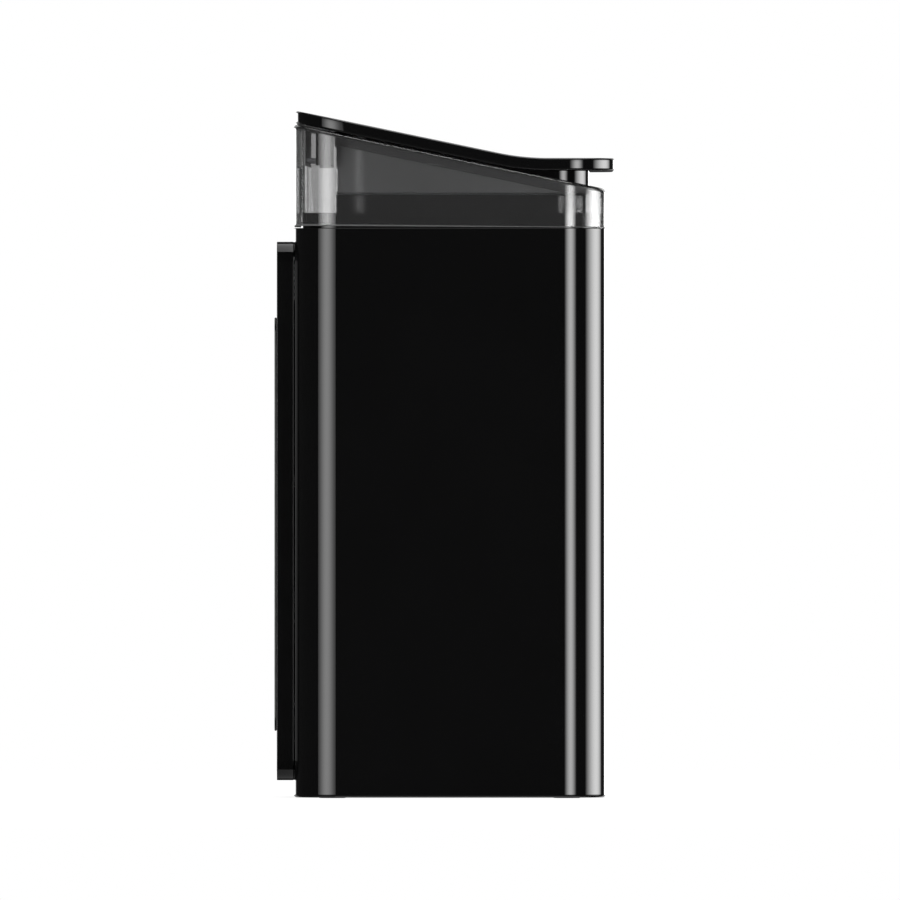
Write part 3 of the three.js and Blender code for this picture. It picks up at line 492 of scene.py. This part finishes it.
def make_body(looks):
    """The outer body: one smooth wall with a rounded foot and an air hole at the rear."""
    low, high, sheet = level(BODY_LOW.z), level(BODY_HIGH.z), 2 * MM
    stations = (
        quarter(-BODY_FOOT, low, BODY_FOOT, BODY_FOOT, -90, 8)
        + quarter(-0.8 * MM, high, -0.8 * MM, 0.8 * MM, 0)
        + [(-sheet, high, 0), (-sheet, low, 2.2 * MM), (-BODY_FOOT, low, 0.9 * MM)]
    )
    wall = tube_wall(plan(0), stations)
    air = cylinder(28 * MM, REAR - 0.01, REAR + 0.01, (0, 0, 0.55), "y")
    piece(cut(wall, air), "body_shell", "root", looks["shell"], ["outer_shell"])


def make_collar(looks):
    """The see-through collar, with soft rims and a lip that narrows its mouth."""
    wall, soft, mouth = COLLAR_WALL, 4.5 * MM, MOUTH_INSET
    stations = quarter(-COLLAR_FOOT, collar_bottom, COLLAR_FOOT, COLLAR_FOOT, -90)
    stations += quarter(-soft, collar_top, -soft, soft, 0, 8)
    stations += quarter(-mouth + 1 * MM, collar_top, -1 * MM, 1 * MM, 90, 3)
    stations += [(-mouth, collar_top, -wall), (-wall - 2.5 * MM, collar_top, -wall),
                 (-wall - 0.7 * MM, collar_top, -wall - 0.7 * MM), (-wall, collar_top, -wall - 2.5 * MM),
                 (-wall, collar_bottom, 0)]
    piece(tube_wall(plan(0, steps=32), stations), "smoky_collar", "root", looks["smoke"], ["collar"])


def make_highlight_strip(looks):
    """A pale strip along the collar's lower edge, tallest at the rear; its pale colour is a painted
    highlight, standing in for the bright line of light under the collar's edge.
    """
    def top(y):
        return collar_bottom(y) + 0.4 * MM + 1.5 * MM * (y - FRONT) / (REAR - FRONT)

    strip = tube_wall(plan(0.25 * MM), wall_stations(collar_bottom, top, 2 * MM, 0.1 * MM, 0.1 * MM))
    # the strip's pale material paints the highlight under the collar's edge
    piece(strip, "collar_highlight_strip", "root", looks["painted_highlight_strip"])


def make_lid(looks):
    """The curved lid panel, with pockets for the hinge arms, a bay for the buttons and their wells."""
    top, bottom = lid_face(0), lid_face(LID_THICK)
    slab = plate(HALF, LID_LOW.y, LID_HIGH.y, CORNER + 3 * MM, bottom, top, LID_EDGE, spans=48)
    rear_end, front_end = REAR - HINGE_IN + 4.4 * MM, REAR - 40 * MM
    skin = lid_face(2 * MM)
    under_lid, pocket_half = 0.7, 7.5 * MM
    pocket_side = [(rear_end, under_lid), (rear_end, skin(rear_end)),
                   (front_end, skin(front_end)), (front_end, under_lid)]
    pockets = [prism(side * HINGE_X - pocket_half, side * HINGE_X + pocket_half, pocket_side)
               for side in (-1, 1)]
    cover_low, cover_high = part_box("button_cover")
    play = 0.3 * MM
    bay = boxes(((cover_low.x - play, cover_low.y - play, cover_low.z - 0.01),
                 (cover_high.x + play, cover_high.y + play, BAY_ROOF)))
    wells = [hole_for(node) for node in ("start_button", "stop_button")]
    piece(cut(slab, *pockets, bay, *wells), "lid_shell", "lid", looks["lid"], ["lid_panel"])


def hole_for(node):
    """A cutting cylinder for a button's well."""
    low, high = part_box(node)
    centre = ((low.x + high.x) / 2, (low.y + high.y) / 2, 0)
    return cylinder(BUTTON_RADIUS + 0.4 * MM, low.z - 4 * MM, high.z + 4 * MM, centre)


def make_buttons(looks):
    """The two button caps, each with a shallow dish."""
    for node, slot in (("start_button", "button_light"), ("stop_button", "satin_black")):
        low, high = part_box(node)
        centre = ((low.x + high.x) / 2, (low.y + high.y) / 2, 0)
        cap = cylinder(BUTTON_RADIUS, low.z, high.z, centre, edge=0.7 * MM, steps=64)
        dish = cylinder(BUTTON_RADIUS * 0.62, high.z - 0.35 * MM, high.z + 1 * MM, centre, edge=0.1 * MM,
                        steps=64)
        piece(cut(cap, dish), f"cap_{node}", node, looks[slot], [node])


def make_plug(looks):
    """The plug under the lid: a gloss neck above the collar, a satin skirt in it, and the drive housing."""
    low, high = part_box("plug_frame")
    radius = 33 * MM
    under = lid_face(LID_THICK + 0.3 * MM)
    foot = low.z
    base = outline(high.x, low.y, high.y, radius)

    def lower(y):
        return max(collar_top(y) - PLUG_BAND, foot)

    def seam(y):
        return max(collar_top(y), lower(y) + 1.5 * MM)

    def skirt_top(y):
        return seam(y) - 0.1 * MM

    neck = tube_wall(base, wall_stations(seam, under, 2 * MM, 0.1 * MM, 0.3 * MM))
    piece(neck, "plug_band", "lid", looks["plug"], ["plug_frame"])
    skirt = tube_wall(base, wall_stations(lower, skirt_top, 2 * MM, 0.6 * MM, 0.1 * MM))
    piece(skirt, "plug_skirt", "lid", looks["plug_skirt"])
    low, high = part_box("drive_housing")
    inner = outline(high.x, low.y, high.y, radius - 2.3 * MM)
    shell = tube_wall(inner, wall_stations(level(low.z), under, 2.5 * MM, 0.8 * MM, 0.3 * MM))
    lock_low, lock_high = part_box("lock_bolt")
    centre = (0, (lock_low.y + lock_high.y) / 2, (lock_low.z + lock_high.z) / 2)
    hole = cylinder(4 * MM, 0.12, 0.15, centre, "x")
    piece(cut(shell, hole), "drive_shell", "lid", looks["housing_grey"], ["drive_housing"])


def make_deck(looks):
    """The deck between body and collar with its spigot, and the hopper ring that stands on it."""
    low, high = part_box("top_deck")
    ring_low, ring_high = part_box("hopper_ring")
    plate_top = low.z + 4.2 * MM
    base = outline(high.x, low.y, high.y, CORNER - 2.3 * MM)
    spigot = 5.7 * MM
    inner = 21.7 * MM
    section = (
        quarter(-0.4 * MM, level(low.z), 0.4 * MM, 0.4 * MM, -90, 3)
        + quarter(-0.5 * MM, level(plate_top), -0.5 * MM, 0.5 * MM, 0, 3)
        + [(-spigot, level(plate_top), 0)]
        + quarter(-spigot - 0.8 * MM, level(high.z), -0.8 * MM, 0.8 * MM, 0, 4)
        + quarter(-spigot - 2.2 * MM, level(high.z), -0.8 * MM, 0.8 * MM, 90, 4)
        + [(-spigot - 3 * MM, level(plate_top), 0), (-inner, level(plate_top), 0), (-inner, level(low.z), 0)]
    )
    piece(tube_wall(base, section), "deck_ring", "root", looks["plug"], ["top_deck"])
    ring = outline(ring_high.x, ring_low.y, ring_high.y, 33 * MM)
    walls = wall_stations(level(ring_low.z), level(ring_high.z), 4 * MM, 0.5 * MM, 1.4 * MM)
    piece(tube_wall(ring, walls), "hopper_wall", "root", looks["plug"], ["hopper_ring"])


def make_bucket(looks):
    """The waste bucket, with an out-turned rim and a rounded floor."""
    low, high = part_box("bucket")
    rim, rim_height, wall, floor, corner = 3 * MM, 7 * MM, 2 * MM, 3 * MM, 6 * MM
    bottom, top = level(low.z), level(high.z)
    inside = -rim - wall
    section = (
        quarter(-rim - corner, bottom, corner, corner, -90)
        + [(-rim, top, -rim_height)]
        + quarter(-0.8 * MM, top, 0.8 * MM - rim_height, 0.8 * MM, -90, 3)
        + quarter(-1.2 * MM, top, -1.2 * MM, 1.2 * MM, 0, 4)
        + quarter(inside + 1.2 * MM, top, -1.2 * MM, 1.2 * MM, 90, 4)
        + [(inside, bottom, floor + corner), (inside - 0.3 * corner, bottom, floor + 0.3 * corner),
           (inside - corner, bottom, floor)]
    )
    shell = open_wall(outline(high.x, low.y, high.y, CORNER - 4 * MM), section)
    piece(shell, "waste_bucket", "root", looks["bucket"], ["bucket"])


def open_wall(points, stations):
    """A wall whose first and last rings are closed with flat faces, as the two sides of a floor."""
    bm = bmesh.new()
    rings = []
    for offset, z_of, dz in stations:
        rings.append([bm.verts.new((x + nx * offset, y + ny * offset, z_of(y) + dz))
                      for x, y, nx, ny in points])
    for low, high in zip(rings, rings[1:]):
        bridge(bm, low, high)
    bm.faces.new(rings[0][::-1])
    bm.faces.new(rings[-1])
    return bm


# ---- Rear ---------------------------------------------------------------------------------------

def facing_rear(x, y, z):
    """Maps a plate drawn flat to one that stands against the rear, its top face outwards."""
    return (-x, z, y)


def make_rear(looks):
    """The rear case with its openings and vents, and the cover that pulls off it."""
    low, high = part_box("rear_housing")
    cover_low, cover_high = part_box("service_cover")
    outside = plate(high.x, low.z, high.z, 21 * MM, level(low.y), level(high.y), 0.5 * MM, facing_rear,
                    columns=12, spans=12)
    wall = 2.5 * MM
    hollow = plate(high.x - wall, low.z + wall, high.z - wall, 18.5 * MM, level(low.y - 0.01),
                   level(high.y - wall), 0.5 * MM, facing_rear, columns=6, spans=6)
    inset = 8 * MM
    hatch = plate(cover_high.x - inset, cover_low.z + inset, cover_high.z - inset, 8 * MM, level(low.y),
                  level(high.y + 0.01), 0.5 * MM, facing_rear, columns=4, spans=4)
    openings = [hollow, hatch]
    for node, flange in (("mains_inlet", 2.6 * MM), ("switch_body", 2 * MM)):
        a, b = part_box(node)
        openings.append(boxes(((a.x + flange, low.y + 5 * MM, a.z + flange),
                               (b.x - flange, high.y + 0.01, b.z - flange))))
    openings += [cylinder(SCREW_RADIUS + 0.5 * MM, high.y - 1.2 * MM, high.y + 0.01, centre, "y")
                 for centre in screw_spots()]
    for row in range(VENT_ROWS):
        z = VENT_LOW + row * VENT_PITCH
        openings.append(plate(VENT_HALF, z, z + VENT_SLOT, 1.65 * MM, level(low.y + 5 * MM),
                              level(high.y + 0.01), 0.1 * MM, facing_rear, columns=2, spans=2, steps=6))
    housing = cut(outside, *openings)
    piece(housing, "rear_case", "root", looks["rear_case"], ["rear_housing"])

    face = plate(cover_high.x, cover_low.z, cover_high.z, 14 * MM, level(high.y + 0.3 * MM),
                 level(cover_high.y), 1.1 * MM, facing_rear, columns=12, spans=24)
    piece(face, "rear_cover_face", "service_cover", looks["rear_case"], ["service_cover"])
    lip = outline(cover_high.x - 9 * MM, cover_low.z + 9 * MM, cover_high.z - 9 * MM, 7 * MM, 8, 3)
    skirt = tube_wall(lip, [(0, level(cover_low.y), 0), (0, level(high.y), 0.4 * MM),
                            (-2 * MM, level(high.y), 0.4 * MM), (-2 * MM, level(cover_low.y), 0)])
    for v in skirt.verts:
        v.co = Vector(facing_rear(*v.co))
    piece(skirt, "rear_cover_lip", "service_cover", looks["rear_case"])


def screw_spots():
    """The centres of the rear case's corner screws, as offsets from a cylinder along y."""
    low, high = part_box("rear_housing")
    heights = (low.z + SCREW_IN, high.z - SCREW_IN)
    return [(side * (high.x - SCREW_IN), 0, z) for side in (-1, 1) for z in heights]


def make_screws(looks):
    """Cross-head screws sunk in the rear case's four corners."""
    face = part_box("rear_housing")[1].y - 0.1 * MM
    half, wide = 2.2 * MM, 0.45 * MM
    for i, centre in enumerate(screw_spots()):
        x, z = centre[0], centre[2]
        head = cylinder(SCREW_RADIUS, face - 1.1 * MM, face, centre, "y", edge=0.4 * MM, steps=32)
        floor = face - 0.6 * MM
        across = boxes(((x - half, floor, z - wide), (x + half, face + 0.01, z + wide)))
        upright = boxes(((x - wide, floor, z - half), (x + wide, face + 0.01, z + half)))
        piece(cut(head, across, upright), f"case_screw_{i + 1}", "root", looks["steel"])


# ---- Stage --------------------------------------------------------------------------------------

CARD_RADIUS = 30.0
CARD_AWAY = 0.13
CARD_HEIGHTS = ((-15.0, CARD_AWAY), (-1.1, CARD_AWAY), (-0.45, 1.0), (1.3, 1.0), (2.2, CARD_AWAY),
                (20.0, CARD_AWAY))


def lit_card(name, start, end, strength, power, least=0.0):
    """A curved upright light card, brightest in its middle. Angles run from -X, positive towards the front.

    It has its full strength near the horizon, and only a share of it above and below.
    """
    steps = 32
    bm = bmesh.new()
    fade = bm.verts.layers.float.new("fade")
    rings = []
    for i in range(steps + 1):
        share = i / steps
        angle = math.radians(start + (end - start) * share)
        x, y = -CARD_RADIUS * math.cos(angle), -CARD_RADIUS * math.sin(angle)
        ring = []
        for z, kept in CARD_HEIGHTS:
            v = bm.verts.new((x, y, z))
            v[fade] = kept * (least + (1 - least) * math.sin(math.pi * share) ** power)
            ring.append(v)
        rings.append(ring)
    for a, b in zip(rings, rings[1:]):
        for k in range(len(CARD_HEIGHTS) - 1):
            bm.faces.new((a[k], b[k], b[k + 1], a[k + 1]))
    card = as_object(bm, name)
    glow(card, name, strength, True)


def level_card(name, z, y0, y1, strength):
    """A flat light card above or below the object."""
    half = 1.2
    bm = bmesh.new()
    bm.faces.new([bm.verts.new((x, y, z)) for x, y in ((-half, y0), (-half, y1), (half, y1), (half, y0))])
    glow(as_object(bm, name), name, strength, False)


def glow(card, name, strength, faded):
    """Gives a stage card its light: it shows in reflections only, whatever the ray has passed through."""
    material = bpy.data.materials.new(name)
    material.use_nodes = True
    material.cycles.emission_sampling = "NONE"
    nodes, links = material.node_tree.nodes, material.node_tree.links
    nodes.clear()
    emission = nodes.new("ShaderNodeEmission")
    clear = nodes.new("ShaderNodeBsdfTransparent")
    mix = nodes.new("ShaderNodeMixShader")
    out = nodes.new("ShaderNodeOutputMaterial")
    emission.inputs["Strength"].default_value = strength
    if faded:
        fade = nodes.new("ShaderNodeAttribute")
        fade.attribute_name = "fade"
        power = nodes.new("ShaderNodeMath")
        power.operation = "MULTIPLY"
        power.inputs[1].default_value = strength
        links.new(fade.outputs["Fac"], power.inputs[0])
        links.new(power.outputs["Value"], emission.inputs["Strength"])
    links.new(reached(nodes, links, "Glossy Depth"), mix.inputs["Fac"])
    links.new(clear.outputs["BSDF"], mix.inputs[1])
    links.new(emission.outputs["Emission"], mix.inputs[2])
    links.new(mix.outputs["Shader"], out.inputs["Surface"])
    card.data.materials.append(material)
    card.visible_camera = False
    card.visible_diffuse = False
    card.visible_shadow = False


def reached(nodes, links, depth):
    """1 where the ray has made at least one bounce of a kind, otherwise 0."""
    path, test = nodes.new("ShaderNodeLightPath"), nodes.new("ShaderNodeMath")
    test.operation = "GREATER_THAN"
    test.inputs[1].default_value = 0.5
    links.new(path.outputs[depth], test.inputs[0])
    return test.outputs["Value"]


def make_floor():
    """A pale floor that isn't seen in reflections."""
    bm = bmesh.new()
    size = 3.0
    corners = ((-size, -size), (size, -size), (size, size), (-size, size))
    bm.faces.new([bm.verts.new((x, y, 0)) for x, y in corners])
    floor = as_object(bm, "floor")
    material = bpy.data.materials.new("pale_floor")
    material.use_nodes = True
    shader = material.node_tree.nodes["Principled BSDF"]
    shader.inputs["Base Color"].default_value = (0.2, 0.2, 0.2, 1)
    shader.inputs["Roughness"].default_value = 0.9
    shader.inputs["Specular IOR Level"].default_value = 0.0
    shader.inputs["Emission Color"].default_value = (1, 1, 1, 1)
    shader.inputs["Emission Strength"].default_value = 0.9
    floor.data.materials.append(material)
    floor.visible_glossy = False


def make_world():
    """White behind the object and through its clear parts; dim in reflections, soft on matt surfaces."""
    in_reflections, on_matt = 0.035, 0.86
    world = bpy.data.worlds.new("studio")
    bpy.context.scene.world = world
    world.use_nodes = True
    world.cycles.sampling_method = "NONE"
    nodes, links = world.node_tree.nodes, world.node_tree.links
    nodes.clear()
    out, backdrop = nodes.new("ShaderNodeOutputWorld"), nodes.new("ShaderNodeBackground")
    glossy, matt = nodes.new("ShaderNodeMix"), nodes.new("ShaderNodeMix")
    glossy.inputs["A"].default_value = 1.0
    glossy.inputs["B"].default_value = in_reflections
    matt.inputs["B"].default_value = on_matt
    links.new(reached(nodes, links, "Glossy Depth"), glossy.inputs["Factor"])
    links.new(reached(nodes, links, "Diffuse Depth"), matt.inputs["Factor"])
    links.new(glossy.outputs["Result"], matt.inputs["A"])
    links.new(matt.outputs["Result"], backdrop.inputs["Strength"])
    backdrop.inputs["Color"].default_value = (1, 1, 1, 1)
    links.new(backdrop.outputs["Background"], out.inputs["Surface"])


def make_camera():
    """A long lens looking level at the left side, the front to the right."""
    camera = bpy.data.cameras.new("camera")
    camera.lens = 1400
    camera.sensor_width = 36
    camera.clip_end = 200
    view_width, centre_y, centre_z = 0.9592, -0.00605, 0.3697
    distance = view_width * camera.lens / camera.sensor_width
    stand = bpy.data.objects.new("camera", camera)
    stand.location = (-distance, centre_y, centre_z)
    stand.rotation_euler = (math.radians(90), 0, math.radians(-90))
    bpy.context.scene.collection.objects.link(stand)
    bpy.context.scene.camera = stand
    bpy.context.scene.view_settings.view_transform = "Standard"


def make_stage():
    """Floor, world and all light cards."""
    make_floor()
    make_world()
    lit_card("card_front", 3.5, 37, 10, 1.5)
    lit_card("card_side", 63, 128, 11, 1.1)
    lit_card("card_rear", -50, -2, 5, 1.5, 0.2)
    lit_card("card_far_front", 150, 176.5, 8, 1.2)
    lit_card("card_far_rear", -176.5, -140, 5, 1.2)
    level_card("card_top", 2.4, -1.0, REAR, 3.4)
    level_card("card_top_rear", 2.4, REAR, 1.0, 1.6)
    level_card("card_low", -1.5, -1.0, REAR, 0.8)
    level_card("card_low_rear", -1.5, REAR, 1.0, 0.4)


# ---- Build --------------------------------------------------------------------------------------

SLOTS = {row["node"]: row["material_slot"] for row in frame["record"]["subparts"]}
BUILT_HERE = {
    "outer_shell", "collar", "lid_panel", "start_button", "stop_button", "plug_frame", "drive_housing",
    "top_deck", "hopper_ring", "bucket", "rear_housing", "service_cover",
}

make_camera()
make_stage()
looks = make_materials()
make_body(looks)
make_collar(looks)
make_highlight_strip(looks)
make_lid(looks)
make_buttons(looks)
make_plug(looks)
make_deck(looks)
make_bucket(looks)
make_rear(looks)
make_screws(looks)
for node in sorted(set(frame["nodes"]) - BUILT_HERE):
    refined(node, looks[SLOTS[node]])
